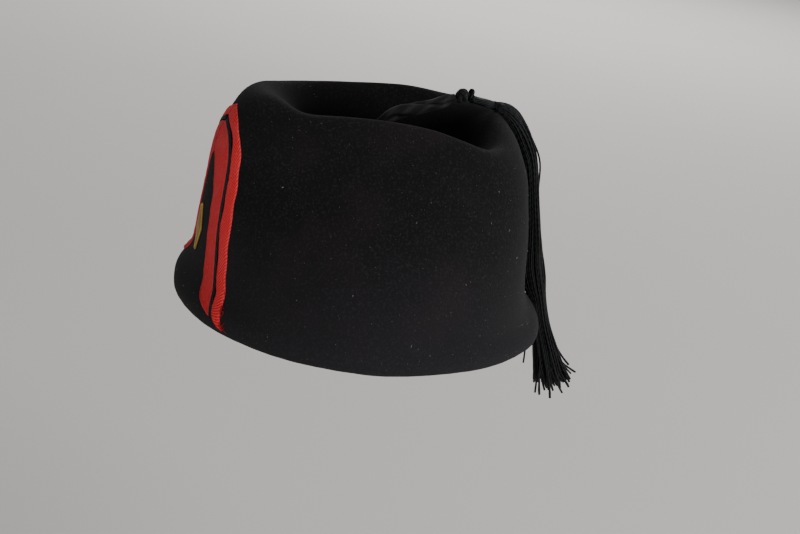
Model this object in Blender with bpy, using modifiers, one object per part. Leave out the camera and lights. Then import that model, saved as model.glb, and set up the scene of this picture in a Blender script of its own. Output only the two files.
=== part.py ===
"""Fez of black felt with a sunk crown, striped red front tapes and a black tassel.

Metres, +Z up. The rim lies in the plane z = 0 and the origin is at its centre.
The front of the hat looks along -Y, its back along +Y, and its left side along +X.
"""

import math
from collections import namedtuple

import bmesh
import bpy
import numpy as np
from mathutils import Vector

# Crown
RIM_RADIUS = 0.0945
RIDGE_HEIGHT = 0.100
FRONT_CREST_HEIGHT = 0.103
BACK_CREST_HEIGHT = 0.102
RIDGE_HALF_WIDTH = 0.0425
FRONT_CREST_REACH = 0.0624
BACK_CREST_REACH = 0.0572
CREST_SPREAD = 0.28
VALLEY_DEPTH = 0.033
FELT = 0.0022
WELD_DISTANCE = 0.00001
COLUMNS = 56
ROWS_PER_SECTION = 2
TUBE_RESOLUTION = 2

# Front tapes and motif
SEAT_GAP = 0.0003
TRIM_GAP = 0.0005
PIPING_DIAMETER = 0.0016
PIPING_CLEARANCE = 0.0003
PIPING_END_SHARE = 0.8
TAPE_THICKNESS = 0.001
BAND_COLUMNS = 4
TAPE_COLUMNS = 3
MOTIF_HALF_WIDTH = 0.0048
MOTIF_FOOT_HEIGHT = 0.020
MOTIF_HEAD_HEIGHT = 0.044
MOTIF_THICKNESS = 0.001
MOTIF_BLUNT_SHARE = 0.06
MOTIF_ROWS = 2

# Tassel
CORD_DIAMETER = 0.0048
KNOT_LENGTH = 0.0062
KNOT_WIDTH = 0.0086
KNOT_SIDES = 14
KNOT_RINGS = 9
SLEEVE_DIAMETER = 0.0046
SLEEVE_LENGTH = 0.0135
SLEEVE_RISE = 0.0026
LOOP_HEIGHT = 0.0032
LOOP_THREAD = 0.0016
LOOP_LIFT_SHARE = 0.35
LOOP_START = -70
LOOP_SWEEP = 320
LOOP_BENDS = 14
LOCK_DIAMETER = 0.0030
LOCK_COUNT = 16
BUNDLE_WIDTH = 0.0120
BUNDLE_DEPTH = 0.0078
WAIST_BRIDGE = 0.0025
SKIRT_BELOW_RIM = 0.056
SIDE_DRIFT_AT_RIM = 0.012
FAN_SIDE_DRIFT = 0.007
FAN_DRIFT = 0.020
FAN_WIDTH = 0.024
FAN_DEPTH = 0.023
UNEVEN_ENDS = 0.16
OPENING_ROWS = 5
GATHERED_SWELL = 0.7

# The left stripe's outer and inner edge, from the rim to where it meets the right stripe
# under the front crest. A row's height is in parts of which the front crest has HEIGHT_PARTS,
# its arc length from the front centre in parts of which the rim's radius has ARC_PARTS.
HEIGHT_PARTS = 103
ARC_PARTS = 94.5
STRIPE_OUTER = [
    (1.3, 56.0), (5.2, 51.7), (10.5, 47.0), (19.0, 41.5), (34.0, 35.9),
    (52.0, 32.9), (68.0, 29.3), (79.0, 24.1), (87.5, 14.8), (94.2, 0.4),
]
STRIPE_INNER = [
    (7.2, 32.5), (10.0, 27.7), (14.5, 22.8), (21.5, 18.0), (34.0, 15.0),
    (46.0, 13.3), (56.0, 11.0), (63.0, 7.8), (68.0, 4.3), (71.5, 0.4),
]
# Where the piped line runs in each of those rows, as a share of the way from the outer
# to the inner edge. The tape narrows towards the head.
PIPING_SHARES = [0.33, 0.35, 0.39, 0.41, 0.42, 0.45, 0.36, 0.27, 0.25, 0.33]

# From the middle of the valley up to the knot.
CORD_ROUTE = [
    (0.0000, -0.0080, 0.0680),
    (0.0000, -0.0070, 0.0800),
    (0.0010, 0.0005, 0.0922),
    (0.0012, 0.0080, 0.0968),
    (0.0010, 0.0190, 0.1000),
    (0.0004, 0.0285, 0.1029),
    (0.0000, 0.0347, 0.1061),
]

# From the rim to the crest. side, front and back are shares of the way from
# the crest's reach out to the rim's, the rises are shares of the crest's
# height, and square is the exponent of the plan's superellipse.
WallSection = namedtuple("WallSection", "side front back side_rise front_rise back_rise square")
WALL_SECTIONS = {
    "edge": WallSection(0.97, 0.99, 0.963, 0.0, 0.0, 0.0, 2.0),
    "flare": WallSection(1.0, 0.98, 0.936, 0.05, 0.05, 0.045, 2.0),
    "flare_top": WallSection(0.94, 0.76, 0.77, 0.13, 0.13, 0.11, 2.0),
    "low_wall": WallSection(0.865, 0.69, 0.685, 0.25, 0.25, 0.23, 2.0),
    "waist": WallSection(0.74, 0.655, 0.637, 0.42, 0.41, 0.42, 2.02),
    "middle": WallSection(0.57, 0.60, 0.54, 0.60, 0.58, 0.60, 2.1),
    "high_wall": WallSection(0.33, 0.53, 0.44, 0.79, 0.76, 0.77, 2.3),
    "shoulder": WallSection(0.145, 0.36, 0.278, 0.92, 0.88, 0.90, 2.5),
    "below_crest": WallSection(0.052, 0.22, 0.135, 0.98, 0.96, 0.97, 2.6),
    "crest": WallSection(0.0, 0.0, 0.0, 1.0, 1.0, 1.0, 2.6),
}

# From the crest down into the valley. side, front and back are shares of
# the crest's reach, and the drops are shares of the way to the valley floor.
TopSection = namedtuple("TopSection", "side front back side_drop front_drop back_drop square")
TOP_SECTIONS = {
    "inside_crest": TopSection(0.945, 0.88, 0.89, 0.06, 0.06, 0.07, 2.5),
    "inner_slope": TopSection(0.83, 0.71, 0.75, 0.40, 0.28, 0.30, 2.4),
    "valley_edge": TopSection(0.52, 0.50, 0.54, 0.82, 0.78, 0.78, 2.3),
    "valley": TopSection(0.18, 0.20, 0.20, 0.98, 0.98, 0.98, 2.1),
}

# Where the felt is pushed out of the even form. place is the angle about +Z
# in degrees, level a share of the ridge's height, outward a share of the rim's
# radius and up a share of the ridge's height.
Dent = namedtuple("Dent", "place level half_angle half_level outward up")
DENTS = {
    "left_back_corner": Dent(50, 0.98, 52, 0.45, 0.012, -0.098),
    "left_ridge_middle": Dent(354, 0.98, 24, 0.40, 0.0, 0.012),
    "left_front_corner": Dent(312, 0.98, 28, 0.18, -0.025, -0.035),
    "right_back_corner": Dent(130, 0.98, 38, 0.40, 0.0, -0.022),
    "left_back_rim": Dent(54, 0.0, 40, 0.09, 0.028, 0.0),
}

# Below the rim. down is a share of the lock's length there, spread a share of
# the way from the bundle's width to the fan's, and swell scales the lock.
FanSection = namedtuple("FanSection", "down spread swell")
FAN_SECTIONS = {
    "below_rim": FanSection(0.25, 0.13, 1.15),
    "middle": FanSection(0.50, 0.36, 1.40),
    "low": FanSection(0.75, 0.66, 1.50),
    "end": FanSection(1.0, 1.0, 1.0),
}

Finish = namedtuple("Finish", "red green blue roughness metallic")
FINISHES = {
    "black_felt": Finish(0.012, 0.011, 0.012, 0.95, 0.0),
    "red_felt": Finish(0.42, 0.02, 0.02, 0.90, 0.0),
    "red_twill": Finish(0.50, 0.03, 0.03, 0.80, 0.0),
    "black_piping": Finish(0.015, 0.014, 0.016, 0.70, 0.0),
    "gold_thread": Finish(0.55, 0.40, 0.12, 0.45, 0.6),
    "cord_braid": Finish(0.020, 0.019, 0.020, 0.85, 0.0),
    "tassel_thread": Finish(0.012, 0.013, 0.015, 0.60, 0.0),
}

CREST_ROW = (len(WALL_SECTIONS) - 1) * ROWS_PER_SECTION
# Rows below the crest between which the tassel hangs clear of the wall's hollow.
TAUT_HEAD_ROW = CREST_ROW // 2
TAUT_FOOT_ROW = CREST_ROW - 1
# The first row below the crest at which the locks have left the sleeve.
FIRST_LOCK_ROW = 2
FRONT_COLUMN = COLUMNS * 3 // 4
BACK_COLUMN = COLUMNS // 4


def clear_scene():
    for obj in list(bpy.data.objects):
        bpy.data.objects.remove(obj, do_unlink=True)


def new_collection(name):
    collection = bpy.data.collections.new(name)
    bpy.context.scene.collection.children.link(collection)
    return collection


def finish(name):
    row = FINISHES[name]
    material = bpy.data.materials.new(name)
    material.use_nodes = True
    shader = material.node_tree.nodes["Principled BSDF"]
    shader.inputs["Base Color"].default_value = (row.red, row.green, row.blue, 1.0)
    shader.inputs["Roughness"].default_value = row.roughness
    shader.inputs["Metallic"].default_value = row.metallic
    return material


def mesh_object(name, vertices, faces, collection, material):
    mesh = bpy.data.meshes.new(name)
    mesh.from_pydata([tuple(v) for v in vertices], [], faces)
    mesh.shade_smooth()
    obj = bpy.data.objects.new(name, mesh)
    obj.data.materials.append(material)
    collection.objects.link(obj)
    return obj


def solidify(obj, thickness, offset):
    modifier = obj.modifiers.new("Wall", "SOLIDIFY")
    modifier.thickness = thickness
    modifier.offset = offset
    modifier.use_rim = True


def catmull_rom(values, place):
    """Value at a place between the items of a list, along a smooth curve."""
    last = len(values) - 1
    index = min(int(place), last - 1)
    share = place - index
    before = values[max(index - 1, 0)]
    start, end = values[index], values[index + 1]
    after = values[min(index + 2, last)]
    return start + 0.5 * share * (
        end - before
        + share * (2 * before - 5 * start + 4 * end - after + share * (3 * (start - end) + after - before))
    )


def signed_power(values, power):
    return np.sign(values) * np.abs(values) ** power


def section_ring(side, front, back, side_z, front_z, back_z, square):
    """One level ring of the crown, as COLUMNS points from +X towards +Y."""
    angles = np.arange(COLUMNS) * 2 * math.pi / COLUMNS
    along_x = signed_power(np.cos(angles), 2 / square)
    along_y = signed_power(np.sin(angles), 2 / square)
    at_back = along_y > 0
    end_share = np.sin(angles) ** 2
    z = side_z + end_share * (np.where(at_back, back_z, front_z) - side_z)
    spread = 1 + CREST_SPREAD * along_y * np.clip(z / RIDGE_HEIGHT, 0, 1) ** 2
    x = side * along_x * spread
    y = np.where(at_back, back, front) * along_y
    return dented(np.stack([x, y, z], axis=1), angles)


def bump(distance, half_width):
    return 0.5 + 0.5 * np.cos(math.pi * np.clip(distance / half_width, 0, 1))


def dented(points, angles):
    for dent in DENTS.values():
        turn = np.abs((np.degrees(angles) - dent.place + 180) % 360 - 180)
        climb = np.abs(points[:, 2] / RIDGE_HEIGHT - dent.level)
        weight = bump(turn, dent.half_angle) * bump(climb, dent.half_level)
        points[:, 0] += weight * dent.outward * RIM_RADIUS * np.cos(angles)
        points[:, 1] += weight * dent.outward * RIM_RADIUS * np.sin(angles)
        points[:, 2] += weight * dent.up * RIDGE_HEIGHT
    return points


def wall_section(row):
    return (
        RIDGE_HALF_WIDTH + row.side * (RIM_RADIUS - RIDGE_HALF_WIDTH),
        FRONT_CREST_REACH + row.front * (RIM_RADIUS - FRONT_CREST_REACH),
        BACK_CREST_REACH + row.back * (RIM_RADIUS - BACK_CREST_REACH),
        row.side_rise * RIDGE_HEIGHT,
        row.front_rise * FRONT_CREST_HEIGHT,
        row.back_rise * BACK_CREST_HEIGHT,
        row.square,
    )


def top_section(row):
    floor = RIDGE_HEIGHT - VALLEY_DEPTH
    return (
        RIDGE_HALF_WIDTH * row.side,
        FRONT_CREST_REACH * row.front,
        BACK_CREST_REACH * row.back,
        RIDGE_HEIGHT + row.side_drop * (floor - RIDGE_HEIGHT),
        FRONT_CREST_HEIGHT + row.front_drop * (floor - FRONT_CREST_HEIGHT),
        BACK_CREST_HEIGHT + row.back_drop * (floor - BACK_CREST_HEIGHT),
        row.square,
    )


def crown_rings():
    """The outer face's rings, as an array of rows, columns and coordinates."""
    sections = [wall_section(row) for row in WALL_SECTIONS.values()]
    sections += [top_section(row) for row in TOP_SECTIONS.values()]
    sections = np.array(sections)
    rows = (len(sections) - 1) * ROWS_PER_SECTION + 1
    places = np.arange(rows) / ROWS_PER_SECTION
    return np.array([section_ring(*catmull_rom(sections, place)) for place in places])


def crown(rings, collection):
    """The felt body in one piece, from the rim over the crest into the valley."""
    rows = len(rings)
    vertices = list(rings.reshape(-1, 3))
    vertices.append(rings[-1].mean(axis=0))
    faces = []
    for row in range(rows - 1):
        for column in range(COLUMNS):
            following = (column + 1) % COLUMNS
            below, above = row * COLUMNS, (row + 1) * COLUMNS
            faces.append((below + column, below + following, above + following, above + column))
    top = (rows - 1) * COLUMNS
    for column in range(COLUMNS):
        faces.append((top + column, top + (column + 1) % COLUMNS, rows * COLUMNS))
    obj = mesh_object("crown", vertices, faces, collection, finish("black_felt"))
    solidify(obj, FELT, -1)
    return obj


def on_ring(ring, arc, column):
    """Point of a ring at an arc length from one of its columns, towards the next one."""
    step = 1 if arc >= 0 else -1
    left = abs(arc)
    while True:
        start, end = ring[column % COLUMNS], ring[(column + step) % COLUMNS]
        length = np.linalg.norm(end - start)
        if left <= length:
            return start + (end - start) * left / length
        left -= length
        column += step


def on_front(rings, height, arc):
    """Point on the crown's front at a height and an arc length, left side positive."""
    heights = rings[:CREST_ROW, FRONT_COLUMN, 2]
    upper = int(np.searchsorted(heights, height))
    share = (height - heights[upper - 1]) / (heights[upper] - heights[upper - 1])
    low, high = [on_ring(rings[row], arc, FRONT_COLUMN) for row in (upper - 1, upper)]
    return low + (high - low) * share


def front_sheet(rings, first, second, columns):
    """Rows of points across the crown's front, between two lines of heights and arc lengths."""
    rows = []
    for start, end in zip(first, second):
        shares = np.arange(columns + 1) / columns
        rows.append([on_front(rings, *(start + (end - start) * share)) for share in shares])
    return np.array(rows)


def sheet_normals(sheet):
    across = np.gradient(sheet, axis=1)
    upward = np.gradient(sheet, axis=0)
    normals = np.cross(across, upward)
    normals /= np.linalg.norm(normals, axis=2, keepdims=True)
    outward = np.sign((normals * sheet)[..., :2].sum(axis=2, keepdims=True))
    return normals * outward


def sewn_sheet(name, sheet, thickness, collection, material):
    """A flat trim on the crown, standing TRIM_GAP clear of the felt."""
    rows, columns = sheet.shape[:2]
    lifted = sheet + sheet_normals(sheet) * TRIM_GAP
    faces = []
    for row in range(rows - 1):
        for column in range(columns - 1):
            corner = row * columns + column
            faces.append((corner, corner + 1, corner + columns + 1, corner + columns))
    vertices = lifted.reshape(-1, 3)
    across = vertices[1] - vertices[0]
    upward = vertices[columns] - vertices[0]
    if np.dot(np.cross(across, upward)[:2], vertices[0][:2]) < 0:
        faces = [face[::-1] for face in faces]
    obj = mesh_object(name, vertices, faces, collection, material)
    solidify(obj, thickness, 1)
    return obj


def stripe_rows(table, side):
    """Heights and arc lengths along one edge of the stripe, on the given side."""
    table = np.array(table) * (FRONT_CREST_HEIGHT / HEIGHT_PARTS, RIM_RADIUS / ARC_PARTS)
    rows = (len(table) - 1) * ROWS_PER_SECTION + 1
    return np.array([catmull_rom(table, row / ROWS_PER_SECTION) for row in range(rows)]) * (1, side)


def front_points(rings, line):
    return np.array([on_front(rings, *row) for row in line])


def stripe(side_name, side, rings, collection, materials):
    """One leaning stripe: an outer tape, a piped line and an inner band."""
    outer, inner = stripe_rows(STRIPE_OUTER, side), stripe_rows(STRIPE_INNER, side)
    across = front_points(rings, inner) - front_points(rings, outer)
    direction = np.gradient(front_points(rings, (outer + inner) / 2), axis=0)
    direction /= np.linalg.norm(direction, axis=1, keepdims=True)
    width = np.linalg.norm(np.cross(across, direction), axis=1, keepdims=True)
    gap = (PIPING_DIAMETER + 2 * PIPING_CLEARANCE) / width
    middle = [catmull_rom(PIPING_SHARES, row / ROWS_PER_SECTION) for row in range(len(outer))]
    middle = np.array(middle)[:, None]
    tape_inner, piping, band_outer = [
        outer + (inner - outer) * (middle + step * gap) for step in (-0.5, 0, 0.5)]
    band = front_sheet(rings, inner, band_outer, BAND_COLUMNS)
    tape = front_sheet(rings, tape_inner, outer, TAPE_COLUMNS)
    end_reach = PIPING_END_SHARE * PIPING_DIAMETER
    kept = (abs(piping[-2, 1]) - end_reach) / (abs(piping[-2, 1]) - abs(piping[-1, 1]))
    piping[-1] = piping[-2] + (piping[-1] - piping[-2]) * kept
    line = front_sheet(rings, piping - (0, TRIM_GAP), piping + (0, TRIM_GAP), 2)
    sewn_sheet(f"band_{side_name}", band, TAPE_THICKNESS, collection, materials["band"])
    sewn_sheet(f"tape_{side_name}", tape, TAPE_THICKNESS, collection, materials["tape"])
    centre = line[:, 1] + sheet_normals(line)[:, 1] * (TRIM_GAP + PIPING_DIAMETER / 2)
    tube(f"piping_{side_name}", centre, PIPING_DIAMETER, collection, materials["piping"])


def motif(rings, collection, material):
    """A plain lozenge of laid thread between the stripes."""
    heights = np.linspace(MOTIF_FOOT_HEIGHT, MOTIF_HEAD_HEIGHT, 2 * MOTIF_ROWS + 1)
    shares = np.maximum(MOTIF_BLUNT_SHARE, 1 - np.abs(np.linspace(-1, 1, 2 * MOTIF_ROWS + 1)))
    right, left = [np.stack([heights, side * MOTIF_HALF_WIDTH * shares], axis=1) for side in (-1, 1)]
    sheet = front_sheet(rings, right, left, BAND_COLUMNS)
    sewn_sheet("motif", sheet, MOTIF_THICKNESS, collection, material)


def tube(name, points, diameter, collection, material, swells=None):
    """A round cord along points, with closed ends. swells scales it point by point."""
    curve = bpy.data.curves.new(name, "CURVE")
    curve.dimensions = "3D"
    curve.bevel_depth = diameter / 2
    curve.bevel_resolution = TUBE_RESOLUTION
    curve.use_fill_caps = True
    spline = curve.splines.new("POLY")
    spline.points.add(len(points) - 1)
    for index, point in enumerate(points):
        spline.points[index].co = (*point, 1.0)
        spline.points[index].radius = swells[index] if swells else 1.0
    obj = bpy.data.objects.new(name, curve)
    obj.data.materials.append(material)
    collection.objects.link(obj)
    return obj


def as_mesh(obj):
    """Replaces a curve object by its closed mesh."""
    graph = bpy.context.evaluated_depsgraph_get()
    mesh = bpy.data.meshes.new_from_object(obj.evaluated_get(graph))
    weld = bmesh.new()
    weld.from_mesh(mesh)
    bmesh.ops.remove_doubles(weld, verts=weld.verts, dist=WELD_DISTANCE)
    bmesh.ops.recalc_face_normals(weld, faces=weld.faces)
    weld.to_mesh(mesh)
    weld.free()
    name, collection = obj.name, obj.users_collection[0]
    bpy.data.objects.remove(obj, do_unlink=True)
    made = bpy.data.objects.new(name, mesh)
    collection.objects.link(made)
    return made


def fuse(name, pieces):
    """One body from pieces that run into each other."""
    whole = pieces[0]
    for piece in pieces[1:]:
        join = whole.modifiers.new("Join", "BOOLEAN")
        join.operation = "UNION"
        join.solver = "EXACT"
        join.object = piece
        graph = bpy.context.evaluated_depsgraph_get()
        mesh = bpy.data.meshes.new_from_object(whole.evaluated_get(graph))
        whole.modifiers.clear()
        whole.data = mesh
        bpy.data.objects.remove(piece, do_unlink=True)
    whole.name = name
    whole.data.shade_smooth()
    return whole


def smooth_route(points, spacing):
    """Points about spacing apart along a smooth curve through a few chosen ones."""
    points = np.array(points)
    lengths = np.linalg.norm(np.diff(points, axis=0), axis=1)
    route = [points[0]]
    for index, length in enumerate(lengths):
        steps = max(1, round(length / spacing))
        route += [catmull_rom(points, index + step / steps) for step in range(1, steps + 1)]
    return np.array(route)


def sleeve_ends(rings):
    """The bound head of the tassel lies across the back crest."""
    crest = rings[CREST_ROW, BACK_COLUMN]
    seat = rings[:, BACK_COLUMN, 2].max() + SEAT_GAP + SLEEVE_DIAMETER / 2
    outer = Vector((0, crest[1], seat))
    inner = outer + Vector((0, -SLEEVE_LENGTH, SLEEVE_RISE))
    return inner, outer


def knot(rings, collection, material):
    """The cord's knot, an ovoid just inside the tassel's head."""
    inner, outer = sleeve_ends(rings)
    axis = (inner - outer).normalized()
    centre = inner + axis * (2 * SEAT_GAP + LOOP_THREAD + KNOT_LENGTH / 2)
    shape = bmesh.new()
    bmesh.ops.create_uvsphere(shape, u_segments=KNOT_SIDES, v_segments=KNOT_RINGS, radius=0.5)
    for vertex in shape.verts:
        x, y, z = vertex.co
        vertex.co = centre + Vector((x * KNOT_WIDTH, y * KNOT_LENGTH, z * KNOT_WIDTH))
    mesh = bpy.data.meshes.new("cord_knot")
    shape.to_mesh(mesh)
    shape.free()
    mesh.shade_smooth()
    obj = bpy.data.objects.new("cord_knot", mesh)
    obj.data.materials.append(material)
    collection.objects.link(obj)


def sleeve(rings, collection, material):
    """The bound head with the loop of thread that the knot is tied to."""
    inner, outer = sleeve_ends(rings)
    axis = (inner - outer).normalized()
    bound = as_mesh(tube("bound", [inner, outer], SLEEVE_DIAMETER, collection, material))
    middle = inner + axis * (LOOP_THREAD / 2 - SEAT_GAP)
    upward = Vector((0, axis.z, -axis.y))
    points = []
    for step in range(LOOP_BENDS + 1):
        angle = math.radians(LOOP_START + LOOP_SWEEP * step / LOOP_BENDS)
        sideways = Vector((SLEEVE_DIAMETER / 2 * math.cos(angle), 0, 0))
        points.append(middle + sideways + upward * (LOOP_HEIGHT * (LOOP_LIFT_SHARE + math.sin(angle))))
    loop = as_mesh(tube("loop", points, LOOP_THREAD, collection, material))
    fuse("tassel_sleeve", [bound, loop])


def back_line(rings, lift):
    """Points down the crown's back, lifted off the felt, to the rim left of its middle."""
    wall = rings[CREST_ROW::-1]
    drifts = SIDE_DRIFT_AT_RIM * (1 - wall[:, BACK_COLUMN, 2] / wall[0, BACK_COLUMN, 2])
    line = np.array([on_ring(ring, -drift, BACK_COLUMN) for ring, drift in zip(wall, drifts)])
    direction = np.gradient(line, axis=0)
    normals = np.stack([np.zeros(len(line)), -direction[:, 2], direction[:, 1]], axis=1)
    normals /= np.linalg.norm(normals, axis=1, keepdims=True)
    bridge = WAIST_BRIDGE * np.sin(np.linspace(0, math.pi, len(line))) ** 2
    line += normals * (lift + bridge[:, None])
    head, foot = line[TAUT_HEAD_ROW], line[TAUT_FOOT_ROW]
    taut = np.interp(-line[:, 2], (-head[2], -foot[2]), (head[1], foot[1]))
    hollow = slice(TAUT_HEAD_ROW, TAUT_FOOT_ROW)
    line[hollow, 1] = np.maximum(line[hollow, 1], taut[hollow])
    return line, normals


def lock_points(rings, across, outward):
    """One lock, placed by its shares of the bundle's half width and half depth."""
    outer = np.array(sleeve_ends(rings)[1])
    line, normals = back_line(rings, SEAT_GAP + BUNDLE_DEPTH / 2)
    sideways, upward = np.array([1.0, 0, 0]), np.array([0, 0, 1.0])
    half_width = (BUNDLE_WIDTH - LOCK_DIAMETER) / 2
    half_depth = (BUNDLE_DEPTH - LOCK_DIAMETER) / 2
    gathered = (SLEEVE_DIAMETER - LOCK_DIAMETER) / 2
    points = [outer + (0, SEAT_GAP, 0) + gathered * (across * sideways + outward * upward)]
    for index in range(FIRST_LOCK_ROW, len(line)):
        opened = gathered + (half_width - gathered) * min(1.0, index / OPENING_ROWS)
        points.append(line[index] + across * opened * sideways + outward * half_depth * normals[index])
    rim = line[-1]
    shortening = UNEVEN_ENDS * (0.5 + 0.5 * math.sin(math.tau * (across + outward)))
    length = SKIRT_BELOW_RIM * (1 - shortening)
    for row in FAN_SECTIONS.values():
        width = half_width + (FAN_WIDTH / 2 - half_width) * row.spread
        depth = half_depth + (FAN_DEPTH / 2 - half_depth) * row.spread
        drift = FAN_DRIFT * row.down + outward * depth
        side_drift = FAN_SIDE_DRIFT * row.down + across * width
        points.append(rim + np.array([side_drift, drift, -length * row.down]))
    return points


def skirt(rings, collection, material):
    """Locks of thread that leave the sleeve together, lie on the back and fan out."""
    golden_angle = math.pi * (3 - math.sqrt(5))
    locks = []
    for index in range(LOCK_COUNT):
        reach = math.sqrt((index + 0.5) / LOCK_COUNT)
        angle = index * golden_angle
        points = lock_points(rings, reach * math.cos(angle), reach * math.sin(angle))
        fan_swells = [row.swell for row in FAN_SECTIONS.values()]
        swells = [GATHERED_SWELL] + [1.0] * (len(points) - len(fan_swells) - 1) + fan_swells
        locks.append(as_mesh(tube(f"lock_{index}", points, LOCK_DIAMETER, collection, material, swells)))
    return fuse("tassel_skirt", locks)


def tassel(rings, collection):
    thread = finish("tassel_thread")
    braid = finish("cord_braid")
    route = smooth_route(CORD_ROUTE, 2 * CORD_DIAMETER)
    tube("tassel_cord", route, CORD_DIAMETER, collection, braid)
    knot(rings, collection, braid)
    sleeve(rings, collection, thread)
    skirt(rings, collection, thread)


def main():
    clear_scene()
    collection = new_collection("fez")
    rings = crown_rings()
    crown(rings, collection)
    trims = {"band": finish("red_felt"), "tape": finish("red_twill"), "piping": finish("black_piping")}
    stripe("left", 1, rings, collection, trims)
    stripe("right", -1, rings, collection, trims)
    motif(rings, collection, finish("gold_thread"))
    tassel(rings, collection)


main()
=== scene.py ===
"""Black felt fez with red front stripes and a black tassel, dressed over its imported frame.

Metres, +Z up. The front of the hat looks along -Y, its back along +Y, its left side along +X.
"""

import math
from collections import namedtuple

import bpy
import numpy as np
from bpy.props import FloatProperty, FloatVectorProperty, IntProperty, PointerProperty
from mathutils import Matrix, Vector, noise
from mathutils.bvhtree import BVHTree


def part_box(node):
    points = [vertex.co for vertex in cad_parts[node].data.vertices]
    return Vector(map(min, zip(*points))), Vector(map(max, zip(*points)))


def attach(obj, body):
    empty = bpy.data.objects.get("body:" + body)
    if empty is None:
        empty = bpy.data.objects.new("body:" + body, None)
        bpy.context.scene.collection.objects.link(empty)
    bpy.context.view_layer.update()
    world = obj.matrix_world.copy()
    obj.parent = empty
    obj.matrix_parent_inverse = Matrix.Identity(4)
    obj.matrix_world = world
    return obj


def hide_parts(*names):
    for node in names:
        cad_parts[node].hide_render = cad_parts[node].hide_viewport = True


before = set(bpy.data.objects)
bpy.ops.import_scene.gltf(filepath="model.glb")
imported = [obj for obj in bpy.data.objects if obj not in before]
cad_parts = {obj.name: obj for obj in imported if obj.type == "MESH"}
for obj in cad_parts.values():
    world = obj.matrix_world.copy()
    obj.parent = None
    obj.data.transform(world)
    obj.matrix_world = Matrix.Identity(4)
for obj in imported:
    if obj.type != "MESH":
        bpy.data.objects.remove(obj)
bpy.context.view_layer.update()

bl_info = {
    "name": "Tasselled fez",
    "version": (1, 0, 0),
    "blender": (4, 5, 0),
    "location": "3D View > Sidebar > Fez",
    "description": "Builds a black felt fez with red front stripes and a long black tassel",
    "category": "Object",
}

# The cord's route, from the middle of the valley up to the knot.
CORD_ROUTE = [
    (0.0000, -0.0080, 0.0680),
    (0.0000, -0.0070, 0.0800),
    (0.0010, 0.0005, 0.0922),
    (0.0012, 0.0080, 0.0968),
    (0.0010, 0.0190, 0.1000),
    (0.0004, 0.0285, 0.1029),
    (0.0000, 0.0347, 0.1061),
]
SLEEVE_START = Vector((0.0, 0.04384, 0.10599))
SLEEVE_END = Vector((0.0, 0.05734, 0.10339))
# How far the sleeve's loop of thread stands out of it towards the knot.
LOOP_REACH = 0.0010

# The cord's two flat strands wind round each other and thin towards the knot.
CORD_STEP = 0.0007
STRAND_PITCH = 0.050
STRAND_OFFSET = 0.0015
STRAND_RADIUS = 0.0027
STRAND_FLATNESS = 0.56
STRAND_TAPER = 0.0075

# The middle of the tassel's threads, from the sleeve over the back crest and
# down to the tips, with half the bundle's width across the hat and its depth.
BundleRow = namedtuple("BundleRow", "x y z half_width half_depth")
BUNDLE = [
    BundleRow(0.0000, 0.0572, 0.1034, 0.0017, 0.0017),
    BundleRow(0.0001, 0.0612, 0.1020, 0.0030, 0.0031),
    BundleRow(0.0004, 0.0652, 0.1000, 0.0043, 0.0042),
    BundleRow(0.0007, 0.0685, 0.0969, 0.0051, 0.0045),
    BundleRow(0.0012, 0.0718, 0.0927, 0.0056, 0.0045),
    BundleRow(0.0019, 0.0756, 0.0867, 0.0059, 0.0043),
    BundleRow(0.0027, 0.0794, 0.0794, 0.0060, 0.0039),
    BundleRow(0.0037, 0.0818, 0.0710, 0.0060, 0.0039),
    BundleRow(0.0047, 0.0836, 0.0623, 0.0060, 0.0039),
    BundleRow(0.0058, 0.0854, 0.0533, 0.0060, 0.0039),
    BundleRow(0.0069, 0.0872, 0.0435, 0.0062, 0.0044),
    BundleRow(0.0081, 0.0887, 0.0330, 0.0067, 0.0056),
    BundleRow(0.0092, 0.0900, 0.0239, 0.0071, 0.0066),
    BundleRow(0.0105, 0.0929, 0.0140, 0.0070, 0.0061),
    BundleRow(0.0116, 0.0964, 0.0045, 0.0064, 0.0044),
    BundleRow(0.0130, 0.1000, -0.0080, 0.0066, 0.0046),
    BundleRow(0.0150, 0.1048, -0.0215, 0.0078, 0.0058),
    BundleRow(0.0170, 0.1100, -0.0350, 0.0098, 0.0084),
    BundleRow(0.0188, 0.1143, -0.0442, 0.0122, 0.0114),
]

# The left stripe's outer and inner edge, from the rim to where it meets the right stripe
# under the front crest: heights above the rim, and arc lengths from the front centre.
STRIPE_OUTER = [
    (0.0013, 0.0560), (0.0052, 0.0517), (0.0105, 0.0470), (0.0190, 0.0415), (0.0340, 0.0359),
    (0.0520, 0.0329), (0.0680, 0.0293), (0.0790, 0.0241), (0.0875, 0.0148), (0.0942, 0.0004),
]
STRIPE_INNER = [
    (0.0072, 0.0325), (0.0100, 0.0277), (0.0145, 0.0228), (0.0215, 0.0180), (0.0340, 0.0150),
    (0.0460, 0.0133), (0.0560, 0.0110), (0.0630, 0.0078), (0.0680, 0.0043), (0.0715, 0.0004),
]
STATIONS = 160
# Where the cord lines run in each of those rows, as a share of the way from the outer
# to the inner edge, and the room that they have between tape and band.
PIPING_SHARES = [0.33, 0.35, 0.39, 0.41, 0.42, 0.45, 0.36, 0.27, 0.25, 0.33]
PIPING_ROOM = 0.0022
CLOTH = 0.0008
MOTIF_FOOT = 0.0200
MOTIF_HEAD = 0.0440
MOTIF_HALF_WIDTH = 0.0048
STITCH_PULL = 0.00022
SEAM_DEPTH = 0.00035
# Without it, noise_vector's offsets come from the clock and the felt's waves move each run.
FELT_SEED = 5


def linear(code):
    """An sRGB hex colour as linear red, green, blue and alpha."""
    channels = [int(code[start:start + 2], 16) / 255 for start in (1, 3, 5)]
    return (*[c / 12.92 if c <= 0.04045 else ((c + 0.055) / 1.055) ** 2.4 for c in channels], 1.0)


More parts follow.
